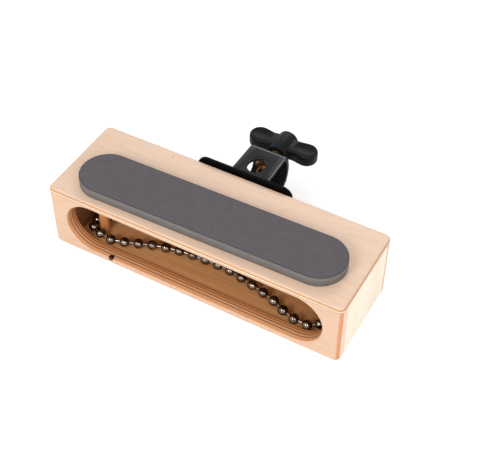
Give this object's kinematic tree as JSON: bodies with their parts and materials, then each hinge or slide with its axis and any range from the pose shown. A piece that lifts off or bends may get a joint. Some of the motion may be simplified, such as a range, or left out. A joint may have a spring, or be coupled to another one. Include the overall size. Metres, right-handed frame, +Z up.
{
  "type": "hand clap block",
  "caption": "Wooden slot box with a foam strike pad, a loop of ball chain that rattles inside and a rod clamp with a wing screw.",
  "frame": {"origin": "middle of the wooden block's underside", "axes": "+X along the slot to the right seen from the slot side, +Y from the slot side to the clamp, +Z up through the strike pad"},
  "size_m": [0.205, 0.1317, 0.056],
  "materials": {
    "birch_face": "clear satin lacquer on pale birch plywood, grain lengthwise",
    "birch_front": "clear satin lacquer on pink-tan wood, grain lengthwise",
    "pale_wood": "clear satin lacquer on cream wood, end grain outwards",
    "floor_wood": "bare tan wood",
    "dowel_wood": "bare orange-tan dowel",
    "foam": "dark grey closed-cell foam, matte with soft edges",
    "black_steel": "black powder coat, satin",
    "black_plastic": "black moulded plastic, satin",
    "zinc_steel": "yellowish zinc plate",
    "dark_nickel": "dark nickel plate, polished"
  },
  "bodies": {
    "block": {"top_plate": "birch_face", "front_panel": "birch_front", "back_panel": "birch_front", "end_block_left": "pale_wood", "end_block_right": "pale_wood", "floor_panel": "floor_wood", "strike_pad": "foam", "chain_post_left": "dowel_wood", "chain_post_right": "dowel_wood", "mount_plate": "black_steel", "plate_screw_upper_left": "black_steel", "plate_screw_upper_right": "black_steel", "plate_screw_lower_left": "black_steel", "plate_screw_lower_right": "black_steel", "rod_strap": "black_steel", "clamp_nut": "zinc_steel"},
    "chain": {"chain_link_01": "dark_nickel", "chain_link_02": "dark_nickel", "chain_link_03": "dark_nickel", "chain_link_04": "dark_nickel", "chain_link_05": "dark_nickel", "chain_link_06": "dark_nickel", "chain_link_07": "dark_nickel", "chain_link_08": "dark_nickel", "chain_link_09": "dark_nickel", "chain_link_10": "dark_nickel", "chain_link_11": "dark_nickel", "chain_link_12": "dark_nickel", "chain_link_13": "dark_nickel", "chain_link_14": "dark_nickel", "chain_link_15": "dark_nickel", "chain_link_16": "dark_nickel", "chain_link_17": "dark_nickel", "chain_link_18": "dark_nickel", "chain_link_19": "dark_nickel", "chain_link_20": "dark_nickel", "chain_link_21": "dark_nickel", "chain_link_22": "dark_nickel", "chain_link_23": "dark_nickel", "chain_link_24": "dark_nickel", "chain_link_25": "dark_nickel", "chain_link_26": "dark_nickel", "chain_link_27": "dark_nickel", "chain_link_28": "dark_nickel", "chain_link_29": "dark_nickel", "chain_link_30": "dark_nickel", "chain_link_31": "dark_nickel", "chain_link_32": "dark_nickel", "chain_link_33": "dark_nickel", "chain_link_34": "dark_nickel", "chain_link_35": "dark_nickel", "chain_link_36": "dark_nickel", "chain_link_37": "dark_nickel", "chain_link_38": "dark_nickel", "chain_link_39": "dark_nickel", "chain_link_40": "dark_nickel", "chain_clasp": "dark_nickel"},
    "wing_stud": {"wing_stud": "zinc_steel"},
    "wing_knob": {"wing_knob": "black_plastic"}
  },
  "joints": [
    {"name": "chain_hop", "type": "slide", "parent": "block", "child": "chain", "axis": [0, 0, 1], "range_m": [0, 0.0327]},
    {"name": "screw_feed", "type": "slide", "parent": "block", "child": "wing_stud", "axis": [0, 1, 0], "range_m": [-0.0045, 0.0065]},
    {"name": "screw_turn", "type": "hinge", "parent": "wing_stud", "child": "wing_knob", "pos_m": [0, 0.088, 0.0315], "axis": [0, 1, 0], "range_deg": [-1296, 1872]}
  ],
  "couplings": [
    {"joint": "screw_turn", "follows": "screw_feed", "rad_per_m": 5026.5}
  ]
}
